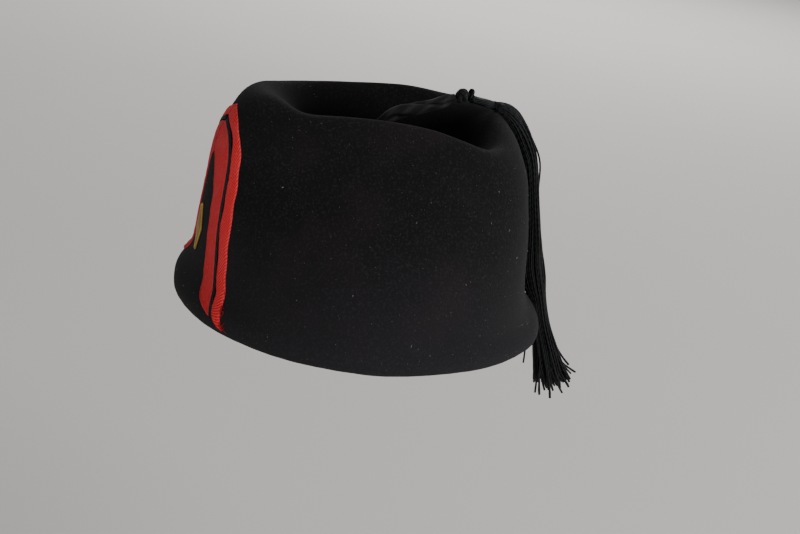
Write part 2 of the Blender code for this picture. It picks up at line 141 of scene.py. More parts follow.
def colour_property(name, description, code):
    return FloatVectorProperty(
        name=name, description=description, subtype="COLOR", size=4, min=0, max=1, default=linear(code))


def length_property(name, description, metres):
    return FloatProperty(
        name=name, description=description, unit="LENGTH", precision=5, min=0, default=metres)


class FezFelt(bpy.types.PropertyGroup):
    colour: colour_property("Felt", "Colour of the pressed felt", "#0f0f10")
    # Besides the rubbed crest and rim, this colour also paints light low on the flare.
    worn: colour_property("Worn felt", "Colour of the rubbed crest and rim and the dusty flare", "#29282b")
    dust: colour_property("Dust", "Colour of the brownish patches", "#1a1516")
    # Painted shade: near black for the felt in the valley between the ridges, darker than the felt's own
    # colour.
    sunk_painted_shade: colour_property("Sunk felt", "Colour of the unrubbed felt in the sunk top", "#050506")
    lint: colour_property("Lint", "Colour of the lint on the felt", "#a39e99")
    swell: length_property("Swell", "Height of the felt's slow waves", 0.0006)
    lint_count: IntProperty(name="Lint", description="How many bits of lint lie on the felt", default=520)


class FezTrim(bpy.types.PropertyGroup):
    band: colour_property("Band", "Colour of the inner red bands", "#e0262c")
    tape: colour_property("Tape", "Colour of the outer twill tapes", "#e4282c")
    piping: colour_property("Piping", "Colour of the cord lines", "#131112")
    gold: colour_property("Gold", "Colour of the lozenge's laid thread", "#96783a")
    fray: colour_property("Fray", "Colour of the frayed threads", "#9a2526")
    rib: length_property("Twill rib", "Distance between the twill's ribs", 0.0015)
    stitch: length_property("Stitch", "Distance between the stitches", 0.0032)


class FezTassel(bpy.types.PropertyGroup):
    thread: colour_property("Thread", "Colour of the tassel's threads", "#0a0b0c")
    cord: colour_property("Cord", "Colour of the plaited cord", "#161516")
    thread_count: IntProperty(name="Threads", description="How many threads the tassel has", default=100)
    thread_size: length_property("Thread size", "Diameter of one tassel thread", 0.00098)


class FezStage(bpy.types.PropertyGroup):
    floor: colour_property("Floor", "Colour of the floor", "#cfcbc9")
    floor_height: FloatProperty(
        name="Floor height", description="Height of the floor", unit="LENGTH", default=-0.26)
    camera_place: FloatVectorProperty(
        name="Camera place", description="Where the camera stands", subtype="TRANSLATION", size=3,
        precision=5, default=(0.508157, -0.162506, 0.222921))
    camera_turn: FloatVectorProperty(
        name="Camera turn", description="How the camera is turned, X then Y then Z", subtype="EULER", size=3,
        default=[math.radians(degrees) for degrees in (68.6068, -8.7261, 73.5376)])
    lens: FloatProperty(name="Lens", description="Focal length on a 36 mm sensor, in mm", default=49.995)


def add_node(tree, kind, inputs=(), **settings):
    """A shader node with its settings, and its inputs set to values or linked to outputs."""
    made = tree.nodes.new(kind)
    for name, value in settings.items():
        setattr(made, name, value)
    for name, value in dict(inputs).items():
        if isinstance(value, bpy.types.NodeSocket):
            tree.links.new(value, made.inputs[name])
        else:
            made.inputs[name].default_value = value
    return made


def new_material(name, **sockets):
    """A material, its node tree and its Principled shader with constants set on its sockets."""
    material = bpy.data.materials.new(name)
    material.use_nodes = True
    shader = material.node_tree.nodes["Principled BSDF"]
    for socket, value in sockets.items():
        shader.inputs[socket.replace("_", " ")].default_value = value
    return material, material.node_tree, shader


def mixed(tree, factor, first, second):
    """The colour output of a mix of two colours."""
    mix = add_node(tree, "ShaderNodeMix", data_type="RGBA")
    for socket, value in ((mix.inputs[0], factor), (mix.inputs[6], first), (mix.inputs[7], second)):
        if isinstance(value, bpy.types.NodeSocket):
            tree.links.new(value, socket)
        else:
            socket.default_value = value
    return mix.outputs[2]


def ramped(tree, value, low, high):
    """A value taken from 0 at low to 1 at high, held between them."""
    span = {"Value": value, "From Min": low, "From Max": high}
    return add_node(tree, "ShaderNodeMapRange", span).outputs[0]


def calculated(tree, operation, first, second=0.0):
    """The result of one sum on values or outputs."""
    return add_node(tree, "ShaderNodeMath", {0: first, 1: second}, operation=operation).outputs[0]


def product(tree, first, second):
    return calculated(tree, "MULTIPLY", first, second)


def noise_of(tree, place, scale, detail=2):
    """The value of a noise texture."""
    inputs = {"Vector": place, "Scale": scale, "Detail": detail}
    return add_node(tree, "ShaderNodeTexNoise", inputs).outputs["Fac"]


def pressed_wool_felt(felt):
    """Pressed wool felt: no gloss, a faint pale nap, brownish dust, rubbed crest, painted light low on the
    flare, painted shade in the valley between the ridges.
    """
    material, tree, shader = new_material(
        "pressed_wool_felt", Roughness=0.95, Specular_IOR_Level=0.05, Sheen_Roughness=0.6)
    place = add_node(tree, "ShaderNodeTexCoord").outputs["Object"]
    patches = noise_of(tree, place, 26, 3)
    clumps = noise_of(tree, place, 900, 4)
    nap = noise_of(tree, place, 2600, 3)
    worn = add_node(tree, "ShaderNodeAttribute", attribute_name="worn").outputs["Fac"]
    dusty = mixed(tree, ramped(tree, patches, 0.45, 0.75), tuple(felt.colour), tuple(felt.dust))
    mottled = mixed(tree, ramped(tree, clumps, 0.50, 0.95), dusty, tuple(felt.worn))
    # Painted light: the flare is painted lighter towards its foot with the worn colour.
    axes = add_node(tree, "ShaderNodeSeparateXYZ", {"Vector": place})
    low = product(tree, ramped(tree, axes.outputs["Z"], 0.058, 0.012), 0.34)
    mottled = mixed(tree, low, mottled, tuple(felt.worn))
    # Painted shade: inside an oval round the hat's axis, the valley between the ridges is painted near black
    # and loses its sheen.
    lengthwise = product(tree, axes.outputs["Y"], 0.71)
    from_axis = add_node(tree, "ShaderNodeCombineXYZ", {"X": axes.outputs["X"], "Y": lengthwise}).outputs[0]
    from_axis = add_node(tree, "ShaderNodeVectorMath", {0: from_axis}, operation="LENGTH").outputs["Value"]
    outside = ramped(tree, from_axis, 0.031, 0.0405)
    tree.links.new(product(tree, outside, 0.03), shader.inputs["Sheen Weight"])
    rubbed = product(tree, worn, ramped(tree, clumps, 0.25, 0.70))
    shade = mixed(tree, outside, tuple(felt.sunk_painted_shade), mixed(tree, rubbed, mottled, tuple(felt.worn)))
    # Specks of dust about 0.4 mm wide, in about one cell in fourteen of a 5 mm net.
    cells = add_node(tree, "ShaderNodeTexVoronoi", {"Vector": place, "Scale": 200})
    chosen = add_node(tree, "ShaderNodeSeparateColor", {"Color": cells.outputs["Color"]}).outputs["Red"]
    speck = calculated(tree, "LESS_THAN", cells.outputs["Distance"], 0.045)
    speck = product(tree, speck, calculated(tree, "GREATER_THAN", chosen, 0.93))
    speck = product(tree, speck, 0.30)
    tree.links.new(mixed(tree, speck, shade, tuple(felt.lint)), shader.inputs["Base Color"])
    relief = calculated(tree, "ADD", clumps, product(tree, nap, 0.5))
    bump = add_node(tree, "ShaderNodeBump", {"Height": relief, "Strength": 0.5, "Distance": 0.0004})
    tree.links.new(bump.outputs[0], shader.inputs["Normal"])
    return material


def woven_cloth(name, colour, pale, rib, slant, sheen):
    """Woven cloth: raised ribs that cross the strip at a slant, with painted shade in the grooves between
    them and a painted highlight along the strip's edges.
    """
    material, tree, shader = new_material(
        name, Roughness=0.82, Specular_IOR_Level=0.25, Sheen_Weight=sheen, Sheen_Roughness=0.4)
    flat = add_node(tree, "ShaderNodeUVMap", uv_map="UVMap").outputs[0]
    parts = add_node(tree, "ShaderNodeSeparateXYZ", {"Vector": flat})
    along = calculated(tree, "ADD", parts.outputs["Y"], product(tree, parts.outputs["X"], slant))
    turns = product(tree, along, math.tau / rib)
    ribs = ramped(tree, calculated(tree, "SINE", turns), -1.0, 1.0)
    threads = calculated(tree, "SINE", product(tree, parts.outputs["X"], math.tau / (rib * 0.55)))
    relief = calculated(tree, "ADD", ribs, product(tree, threads, 0.22))
    fibres = noise_of(tree, flat, 900, 4)
    faded = noise_of(tree, flat, 95)
    # Painted shade: the grooves between the ribs are painted a darker red.
    groove_shade = tuple(channel * 0.34 for channel in colour[:3]) + (1.0,)
    shade = mixed(tree, ramped(tree, ribs, 0.0, 0.7), groove_shade, tuple(colour))
    shade = mixed(tree, ramped(tree, fibres, 0.55, 0.9), shade, pale)
    shade = mixed(tree, product(tree, ramped(tree, faded, 0.45, 0.8), 0.25), shade, pale)
    # The edge attribute paints a highlight along the strip's edges.
    edge = add_node(tree, "ShaderNodeAttribute", attribute_name="edge").outputs["Fac"]
    tree.links.new(mixed(tree, edge, shade, pale), shader.inputs["Base Color"])
    relief = calculated(tree, "ADD", relief, product(tree, fibres, 0.5))
    bump = add_node(tree, "ShaderNodeBump", {"Height": relief, "Strength": 0.8, "Distance": 0.00022})
    tree.links.new(bump.outputs[0], shader.inputs["Normal"])
    return material


def spun_thread(name, colour, pale, ply_pitch, roughness, specular, sheen, metallic=0.0):
    """Spun thread: plies that wind round it, each with a little painted highlight on its crest."""
    material, tree, shader = new_material(
        name, Roughness=roughness, Specular_IOR_Level=specular, Sheen_Weight=sheen, Sheen_Roughness=0.35,
        Metallic=metallic)
    flat = add_node(tree, "ShaderNodeUVMap", uv_map="UVMap").outputs[0]
    parts = add_node(tree, "ShaderNodeSeparateXYZ", {"Vector": flat})
    wound = product(tree, parts.outputs["Y"], math.tau / ply_pitch)
    turns = calculated(tree, "ADD", wound, product(tree, parts.outputs["X"], 2 * math.tau))
    plies = ramped(tree, calculated(tree, "SINE", turns), -1.0, 1.0)
    place = add_node(tree, "ShaderNodeTexCoord").outputs["Object"]
    fibres = noise_of(tree, place, 1500, 3)
    faded = noise_of(tree, place, 110)
    # Painted highlight: each ply is painted lighter along its crest.
    lit = ramped(tree, product(tree, plies, fibres), 0.2, 0.75)
    shade = mixed(tree, lit, tuple(colour), pale)
    shade = mixed(tree, product(tree, ramped(tree, faded, 0.4, 0.75), 0.35), shade, pale)
    tree.links.new(shade, shader.inputs["Base Color"])
    relief = calculated(tree, "ADD", plies, product(tree, fibres, 0.6))
    bump = add_node(tree, "ShaderNodeBump", {"Height": relief, "Strength": 0.7, "Distance": 0.00016})
    tree.links.new(bump.outputs[0], shader.inputs["Normal"])
    return material


def plain_fibre(name, colour):
    """Loose fibre: matt, a little uneven in tone."""
    material, tree, shader = new_material(name, Roughness=0.9, Specular_IOR_Level=0.2)
    place = add_node(tree, "ShaderNodeTexCoord").outputs["Object"]
    uneven = noise_of(tree, place, 160)
    dark = tuple(channel * 0.35 for channel in colour[:3]) + (1.0,)
    shade = mixed(tree, ramped(tree, uneven, 0.3, 0.7), dark, tuple(colour))
    tree.links.new(shade, shader.inputs["Base Color"])
    return material


def only_select(obj):
    bpy.ops.object.select_all(action="DESELECT")
    obj.select_set(True)
    bpy.context.view_layer.objects.active = obj


def merged_copy(node, name):
    """A new object with a CAD node's mesh, its loose triangles merged into quads."""
    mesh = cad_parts[node].data.copy()
    mesh.materials.clear()
    obj = bpy.data.objects.new(name, mesh)
    bpy.context.scene.collection.objects.link(obj)
    only_select(obj)
    bpy.ops.object.mode_set(mode="EDIT")
    bpy.ops.mesh.select_all(action="SELECT")
    bpy.ops.mesh.remove_doubles(threshold=0.00001)
    bpy.ops.mesh.tris_convert_to_quads(face_threshold=math.pi, shape_threshold=math.pi)
    bpy.ops.mesh.normals_make_consistent(inside=False)
    bpy.ops.object.mode_set(mode="OBJECT")
    return obj


def crease_rim(mesh, height, sharpness):
    """Keeps the cut edge at the rim from being rounded off by the subdivision."""
    places = vertex_array(mesh)
    edges = np.zeros(len(mesh.edges) * 2, int)
    mesh.edges.foreach_get("vertices", edges)
    at_rim = (places[edges.reshape(-1, 2), 2] < height).all(axis=1)
    layer = mesh.attributes.new("crease_edge", "FLOAT", "EDGE")
    layer.data.foreach_set("value", (at_rim * sharpness).astype(np.float32))


def apply_subdivision(obj, levels):
    only_select(obj)
    modifier = obj.modifiers.new("Smooth", "SUBSURF")
    modifier.levels = modifier.render_levels = levels
    bpy.ops.object.modifier_apply(modifier=modifier.name)
    bpy.ops.object.shade_smooth()


def vertex_array(mesh):
    flat = np.zeros(len(mesh.vertices) * 3)
    mesh.vertices.foreach_get("co", flat)
    return flat.reshape(-1, 3)


def settled(mesh, values, passes):
    """Values on the vertices, averaged with their neighbours a few times."""
    edges = np.zeros(len(mesh.edges) * 2, int)
    mesh.edges.foreach_get("vertices", edges)
    first, second = edges.reshape(-1, 2).T
    count = np.bincount(edges, minlength=len(values)).reshape(-1, *[1] * (values.ndim - 1))
    for _ in range(passes):
        total = np.zeros_like(values)
        np.add.at(total, first, values[second])
        np.add.at(total, second, values[first])
        values = total / count
    return values


def convexity(mesh):
    """How much each vertex stands out of its neighbours, in millimetres per ring."""
    normals = np.zeros(len(mesh.vertices) * 3)
    mesh.vertex_normals.foreach_get("vector", normals)
    places = vertex_array(mesh)
    bulge = ((places - settled(mesh, places, 1)) * normals.reshape(-1, 3)).sum(axis=1)
    return settled(mesh, bulge, 5) * 1000


def float_attribute(mesh, name, values):
    layer = mesh.attributes.new(name, "FLOAT", "POINT")
    layer.data.foreach_set("value", np.asarray(values, np.float32))


def new_piece(name, vertices, faces, uvs, material, edge=None):
    """A mesh object at the origin. uvs gives a pair for each corner of each face."""
    mesh = bpy.data.meshes.new(name)
    mesh.from_pydata([tuple(v) for v in vertices], [], faces)
    layer = mesh.uv_layers.new(name="UVMap")
    layer.data.foreach_set("uv", np.asarray(uvs, np.float32).ravel())
    if edge is not None:
        float_attribute(mesh, "edge", edge)
    mesh.shade_smooth()
    mesh.materials.append(material)
    obj = bpy.data.objects.new(name, mesh)
    bpy.context.scene.collection.objects.link(obj)
    return obj


def catmull_rom(values, places):
    """Values at places between the items of a list, along a smooth curve."""
    values = np.asarray(values, float)
    last = len(values) - 1
    index = np.minimum(np.asarray(places).astype(int), last - 1)
    share = (np.asarray(places) - index).reshape(-1, *[1] * (values.ndim - 1))
    before, start = values[np.maximum(index - 1, 0)], values[index]
    end, after = values[index + 1], values[np.minimum(index + 2, last)]
    return start + 0.5 * share * (
        end - before
        + share * (2 * before - 5 * start + 4 * end - after + share * (3 * (start - end) + after - before)))


def evenly(line, spacing):
    """The line again, with points about spacing apart."""
    line = np.asarray(line, float)
    along = np.concatenate([[0], np.cumsum(np.linalg.norm(np.diff(line, axis=0), axis=1))])
    at = np.linspace(0, along[-1], max(2, round(along[-1] / spacing) + 1))
    return np.stack([np.interp(at, along, line[:, axis]) for axis in range(3)], axis=1)


def line_frames(line):
    """Unit vectors along a line and across it, carried along it without a twist."""
    along = np.gradient(line, axis=0)
    along /= np.maximum(np.linalg.norm(along, axis=1, keepdims=True), 1e-12)
    start = np.eye(3)[np.abs(along[0]).argmin()]
    across = []
    for direction in along:
        start = start - direction * (start @ direction)
        start = start / np.linalg.norm(start)
        across.append(start)
    across = np.array(across)
    return along, across, np.cross(along, across)


def threads(name, lines, radii, sides, material, twist=None, flat=1.0):
    """Round threads along lines, in one mesh with closed ends.

    radii gives a radius or a list of them for each line. The UV map runs round a
    thread from 0 to 1 and along it in metres. twist turns a flat section as it goes.
    """
    vertices, faces, uvs = [], [], []
    for number, line in enumerate(lines):
        line = np.asarray(line, float)
        radius = np.broadcast_to(radii[number] if isinstance(radii, list) else radii, len(line))
        _, across, upward = line_frames(line)
        along = np.concatenate([[0], np.cumsum(np.linalg.norm(np.diff(line, axis=0), axis=1))])
        turn = np.zeros(len(line)) if twist is None else twist[number]
        first = len(vertices)
        for ring in range(len(line)):
            cosine, sine = math.cos(turn[ring]), math.sin(turn[ring])
            wide = across[ring] * cosine + upward[ring] * sine
            thin = upward[ring] * cosine - across[ring] * sine
            for side in range(sides):
                angle = math.tau * side / sides
                vertices.append(
                    line[ring] + radius[ring] * (wide * math.cos(angle) + thin * math.sin(angle) * flat))
        for ring in range(len(line) - 1):
            for side in range(sides):
                following = (side + 1) % sides
                low, high = first + ring * sides, first + (ring + 1) * sides
                faces.append((low + side, low + following, high + following, high + side))
                left, right = side / sides, (side + 1) / sides
                start, end = along[ring], along[ring + 1]
                uvs += [(left, start), (right, start), (right, end), (left, end)]
        for ring, step in ((0, -1), (len(line) - 1, 1)):
            start = first + ring * sides
            faces.append(tuple(start + side for side in range(sides))[::step])
            uvs += [(0.5, along[ring])] * sides
    return new_piece(name, vertices, faces, uvs, material)


class FrontChart:
    """The felt's front as a chart: arc length from the front centre, left positive, and height."""

    def __init__(self, felt):
        tree = BVHTree.FromObject(felt, bpy.context.evaluated_depsgraph_get())
        self.heights = np.linspace(0.0013, 0.0955, 86)
        degrees = np.arange(-78, 78.1, 1.5)
        self.points = np.zeros((len(self.heights), len(degrees), 3))
        self.normals = np.zeros_like(self.points)
        for row, height in enumerate(self.heights):
            for column, degree in enumerate(degrees):
                angle = math.radians(degree - 90)
                out = Vector((math.cos(angle), math.sin(angle), 0))
                place, normal, _, _ = tree.ray_cast(out * 0.15 + Vector((0, 0, height)), -out)
                self.points[row, column], self.normals[row, column] = place, normal
        steps = np.linalg.norm(np.diff(self.points, axis=1), axis=2)
        self.arcs = np.concatenate([np.zeros((len(self.heights), 1)), np.cumsum(steps, axis=1)], axis=1)
        self.arcs -= self.arcs[:, len(degrees) // 2][:, None]

    def at(self, arc, height):
        """The point on the felt and its outward normal."""
        rows = len(self.heights)
        place = np.clip(np.interp(height, self.heights, np.arange(rows)), 0, rows - 1.001)
        row, share = int(place), place - int(place)
        found = []
        for table in (self.points, self.normals):
            low, high = [
                np.array([np.interp(arc, self.arcs[level], table[level, :, axis]) for axis in range(3)])
                for level in (row, row + 1)]
            found.append(low + (high - low) * share)
        return found[0], found[1] / np.linalg.norm(found[1])


class StripePlan:
    """The left stripe on the chart, station by station from the rim to its head."""

    def __init__(self, chart):
        places = np.linspace(0, len(STRIPE_OUTER) - 1, STATIONS + 1)
        self.outer, self.inner = catmull_rom(STRIPE_OUTER, places), catmull_rom(STRIPE_INNER, places)
        outer, inner = [
            np.array([chart.at(arc, height)[0] for height, arc in line]) for line in (self.outer, self.inner)]
        middle = (outer + inner) / 2
        direction = np.gradient(middle, axis=0)
        direction /= np.linalg.norm(direction, axis=1, keepdims=True)
        self.along = np.concatenate([[0], np.cumsum(np.linalg.norm(np.diff(middle, axis=0), axis=1))])
        self.width = np.linalg.norm(np.cross(inner - outer, direction), axis=1)
        half_gap = PIPING_ROOM / self.width / 2
        self.piping = catmull_rom(PIPING_SHARES, places)
        self.spans = {
            "tape": (np.zeros_like(half_gap), self.piping - half_gap),
            "band": (self.piping + half_gap, np.ones_like(half_gap)),
        }

    def place(self, station, share):
        """Height and arc length at a share of the way from the outer to the inner edge."""
        return self.outer[station] + (self.inner[station] - self.outer[station]) * share


# How far a strip's edges wander, where a seam runs along it as a share from its outer edge,
# and how strong the painted highlight is along its outer and inner edge.
Strip = namedtuple("Strip", "columns wander seam pale_outer pale_inner")
STRIPS = {
    "band": Strip(24, 0.00100, 0.86, 0.75, 0.20),
    "tape": Strip(18, 0.00140, 0.0, 0.35, 0.25),
}


def sewn_strip(name, chart, plan, part, side, stitch, material):
    """A strip of cloth on the felt: soft edges, dimpled where it is stitched down."""
    strip, (start, end) = STRIPS[part], plan.spans[part]
    top, under, edge, flat = [], [], [], []
    for station in range(STATIONS + 1):
        width, along = (end - start)[station] * plan.width[station], plan.along[station]
        foot = max(0.0, 1 - along / 0.0012)
        for column in range(strip.columns + 1):
            across = column / strip.columns
            rim = abs(2 * across - 1)
            rise = CLOTH * (1 - rim ** 7) ** 0.4 * (1 - foot ** 3 * 0.6)
            dimple = math.exp(-((rim - 0.80) / 0.09) ** 2)
            rise -= STITCH_PULL * dimple * (0.55 + 0.45 * math.cos(math.tau * along / stitch))
            if strip.seam:
                rise -= SEAM_DEPTH * math.exp(-((across - strip.seam) / 0.035) ** 2)
            rise += 0.00016 * noise.noise(Vector((along * 330, across * 4, side * 3.0)))
            loose = (2 * across - 1) * noise.noise(Vector((along * 105, across * 1.5, strip.columns + side)))
            share = start[station] + (end - start)[station] * across
            share += strip.wander * loose / plan.width[station] * min(1.0, along / 0.002)
            height, arc = plan.place(station, share)
            point, normal = chart.at(side * max(arc, 0.0001), height)
            top.append(point + normal * (0.0002 + max(rise, 0.0001)))
            under.append(point + normal * 0.0001)
            # Painted highlight along the strip's outer and inner edge, kept in the edge attribute.
            pale = strip.pale_outer * np.clip(1 - across / 0.09, 0, 1)
            edge.append(pale + strip.pale_inner * np.clip((across - 0.93) / 0.07, 0, 1))
            flat.append((across * width, along))
    count, stride = len(top), strip.columns + 1
    faces, uvs = [], []

    def add(face, corners):
        if side > 0:
            face, corners = face[::-1], corners[::-1]
        faces.append(face)
        uvs.extend([flat[corner] for corner in corners])

    for station in range(STATIONS):
        for column in range(strip.columns):
            corner = station * stride + column
            quad = (corner, corner + 1, corner + stride + 1, corner + stride)
            add(quad, quad)
            add(tuple(count + c for c in quad[::-1]), quad[::-1])
    border = [station * stride for station in range(STATIONS, 0, -1)]
    border += list(range(strip.columns))
    border += [station * stride + strip.columns for station in range(STATIONS)]
    border += [STATIONS * stride + column for column in range(strip.columns, 0, -1)]
    for here, following in zip(border, border[1:] + border[:1]):
        add((here, count + here, count + following, following), (here, here, following, following))
    return new_piece(name, top + under, faces, uvs, material, edge + edge)


class FEZ_OT_stage(bpy.types.Operator):
    """Pale floor, soft light from the back right, and the camera at the photograph's angle"""
    bl_idname = "fez.stage"
    bl_label = "Stage"

    def execute(self, context):
        stage = context.scene.fez_stage
        bpy.ops.mesh.primitive_plane_add(size=24, location=(0, 0, stage.floor_height))
        floor = context.object
        floor.name = "floor"
        material, tree, shader = new_material("painted_board", Roughness=0.85, Specular_IOR_Level=0.2)
        place = add_node(tree, "ShaderNodeTexCoord").outputs["Object"]
        cloudy = noise_of(tree, place, 1.5)
        darker = tuple(channel * 0.94 for channel in stage.floor[:3]) + (1.0,)
        tree.links.new(mixed(tree, cloudy, tuple(stage.floor), darker), shader.inputs["Base Color"])
        floor.data.materials.append(material)
        lights = (
            ("window", (0.75, 1.15, 0.95), (0, 0, 0.05), 1.1, 20.0),
            ("table_bounce", (1.15, 0.1, -0.12), (0, 0, 0.03), 1.0, 12.0),
            ("room", (0.9, -1.5, 0.35), (0, 0, 0.05), 1.4, 7.5),
            ("backdrop", (-3.2, 1.6, 2.0), (-3.2, 1.6, 0.0), 3.2, 130.0),
        )
        for name, place, aim, size, power in lights:
            bpy.ops.object.light_add(type="AREA", location=place)
            lamp = context.object
            lamp.name = name
            lamp.data.size = size
            lamp.data.energy = power
            lamp.rotation_euler = (Vector(aim) - Vector(place)).to_track_quat("-Z", "Y").to_euler()
        world = bpy.data.worlds.new("room_light")
        world.use_nodes = True
        world.node_tree.nodes["Background"].inputs["Color"].default_value = linear("#d6d4d3")
        world.node_tree.nodes["Background"].inputs["Strength"].default_value = 0.34
        context.scene.world = world
        bpy.ops.object.camera_add(location=stage.camera_place, rotation=stage.camera_turn)
        context.object.data.lens = stage.lens
        context.object.data.sensor_width = 36
        context.scene.camera = context.object
        return {"FINISHED"}


class FEZ_OT_cord(bpy.types.Operator):
    """Flat two-strand cord from the valley to the tassel, and the knot on its end"""
    bl_idname = "fez.cord"
    bl_label = "Cord and knot"

    def execute(self, context):
        tassel = context.scene.fez_tassel
        material = spun_thread("plaited_cotton_cord", tassel.cord, linear("#312e30"), 0.007, 0.85, 0.15, 0.05)
        rows = np.linspace(0, len(CORD_ROUTE) - 1, 121)
        route = evenly(catmull_rom(CORD_ROUTE, rows), CORD_STEP)
        _, across, upward = line_frames(route)
        along = np.arange(len(route)) * CORD_STEP
        lines, twists = [], []
        for strand in range(2):
            angle = math.tau * (along / STRAND_PITCH + strand / 2) + 0.9
            outward = across * np.cos(angle)[:, None] + upward * np.sin(angle)[:, None]
            apart = STRAND_OFFSET * (1 + 0.22 * np.sin(along * 210 + strand))
            lines.append(route + outward * apart[:, None])
            _, own_across, own_upward = line_frames(lines[-1])
            turned = (outward * own_upward).sum(axis=1), (outward * own_across).sum(axis=1)
            twists.append(np.arctan2(*turned) + math.pi / 2)
        thinned = STRAND_RADIUS * (0.45 + 0.55 * np.clip((along[-1] - along) / STRAND_TAPER, 0, 1))
        cord = threads(
            "plaited_cord", lines, [thinned, thinned], 22, material, twists, flat=STRAND_FLATNESS)
        knot = self.tied_knot(material)
        for piece, node in ((cord, "tassel_cord"), (knot, "cord_knot")):
            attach(piece, "root")
            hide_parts(node)
        return {"FINISHED"}

    def tied_knot(self, material):
        """An overhand knot pulled tight, as one closed run of the cord."""
        low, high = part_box("cord_knot")
        centre = (low + high) / 2
        axis = (SLEEVE_START - SLEEVE_END).normalized()
        sideways = Vector((1, 0, 0))
        upward = axis.cross(sideways)
        line = []
        for step in range(97):
            turn = math.tau * step / 96
            reach = 0.00095 * (2 + math.cos(3 * turn))
            lap = 2 * turn + 0.5
            line.append(
                centre + sideways * reach * math.cos(lap) + upward * reach * math.sin(lap)
                + axis * 0.00125 * math.sin(3 * turn))
        link, middle = [], (centre + self.loop_middle()) / 2
        reach = (centre - self.loop_middle()).length / 2 + 0.0012
        for step in range(41):
            turn = math.tau * step / 40
            link.append(middle + axis * reach * math.cos(turn) + upward * 0.0012 * math.sin(turn))
        return threads("tied_knot", [line, link], [0.00142, 0.00125], 14, material)

    def loop_middle(self):
        return SLEEVE_START + (SLEEVE_START - SLEEVE_END).normalized() * LOOP_REACH


class FEZ_OT_sleeve(bpy.types.Operator):
    """Threads bound side by side as the tassel's head, with the loop that the knot holds"""
    bl_idname = "fez.sleeve"
    bl_label = "Bound head"

    def execute(self, context):
        tassel = context.scene.fez_tassel
        material = spun_thread("bound_rayon_thread", tassel.thread, linear("#111518"), 0.012, 0.28, 0.13, 0.0)
        axis = (SLEEVE_END - SLEEVE_START).normalized()
        sideways = Vector((1, 0, 0))
        upward = sideways.cross(axis)
        lines, radii = [], []
        start, length = SLEEVE_START - axis * 0.0004, (SLEEVE_END - SLEEVE_START).length + 0.0006
        for number in range(13):
            line = []
            for step in range(25):
                share = step / 24
                angle = math.tau * number / 13 + 0.5 * share
                reach = 0.00152 + 0.00007 * math.sin(7 * share + number)
                line.append(
                    start + axis * length * share
                    + (sideways * math.cos(angle) + upward * math.sin(angle)) * reach)
            lines.append(line)
            radii.append(0.00048)
        lines.append([start + axis * length * share for share in np.linspace(0.02, 0.98, 12)])
        radii.append(0.00142)
        for first, turns in ((0.0002, 2), (length - 0.0012, 2)):
            steps = turns * 26
            line = []
            for step in range(steps + 1):
                angle = math.tau * turns * step / steps
                place = start + axis * (first + 0.00052 * turns * step / steps)
                line.append(place + (sideways * math.cos(angle) + upward * math.sin(angle)) * 0.00198)
            lines.append(line)
            radii.append(0.00030)
        loop = []
        middle = SLEEVE_START - axis * LOOP_REACH
        for step in range(41):
            angle = math.radians(-100 + 380 * step / 40)
            loop.append(
                middle + sideways * 0.0015 * math.cos(angle) + upward * (0.0015 + 0.0026 * math.sin(angle))
                + axis * 0.0003 * math.sin(2 * angle))
        lines.append(loop)
        radii.append(0.00088)
        sleeve = threads("bound_head", lines, radii, 9, material)
        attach(sleeve, "root")
        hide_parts("tassel_sleeve")
        return {"FINISHED"}


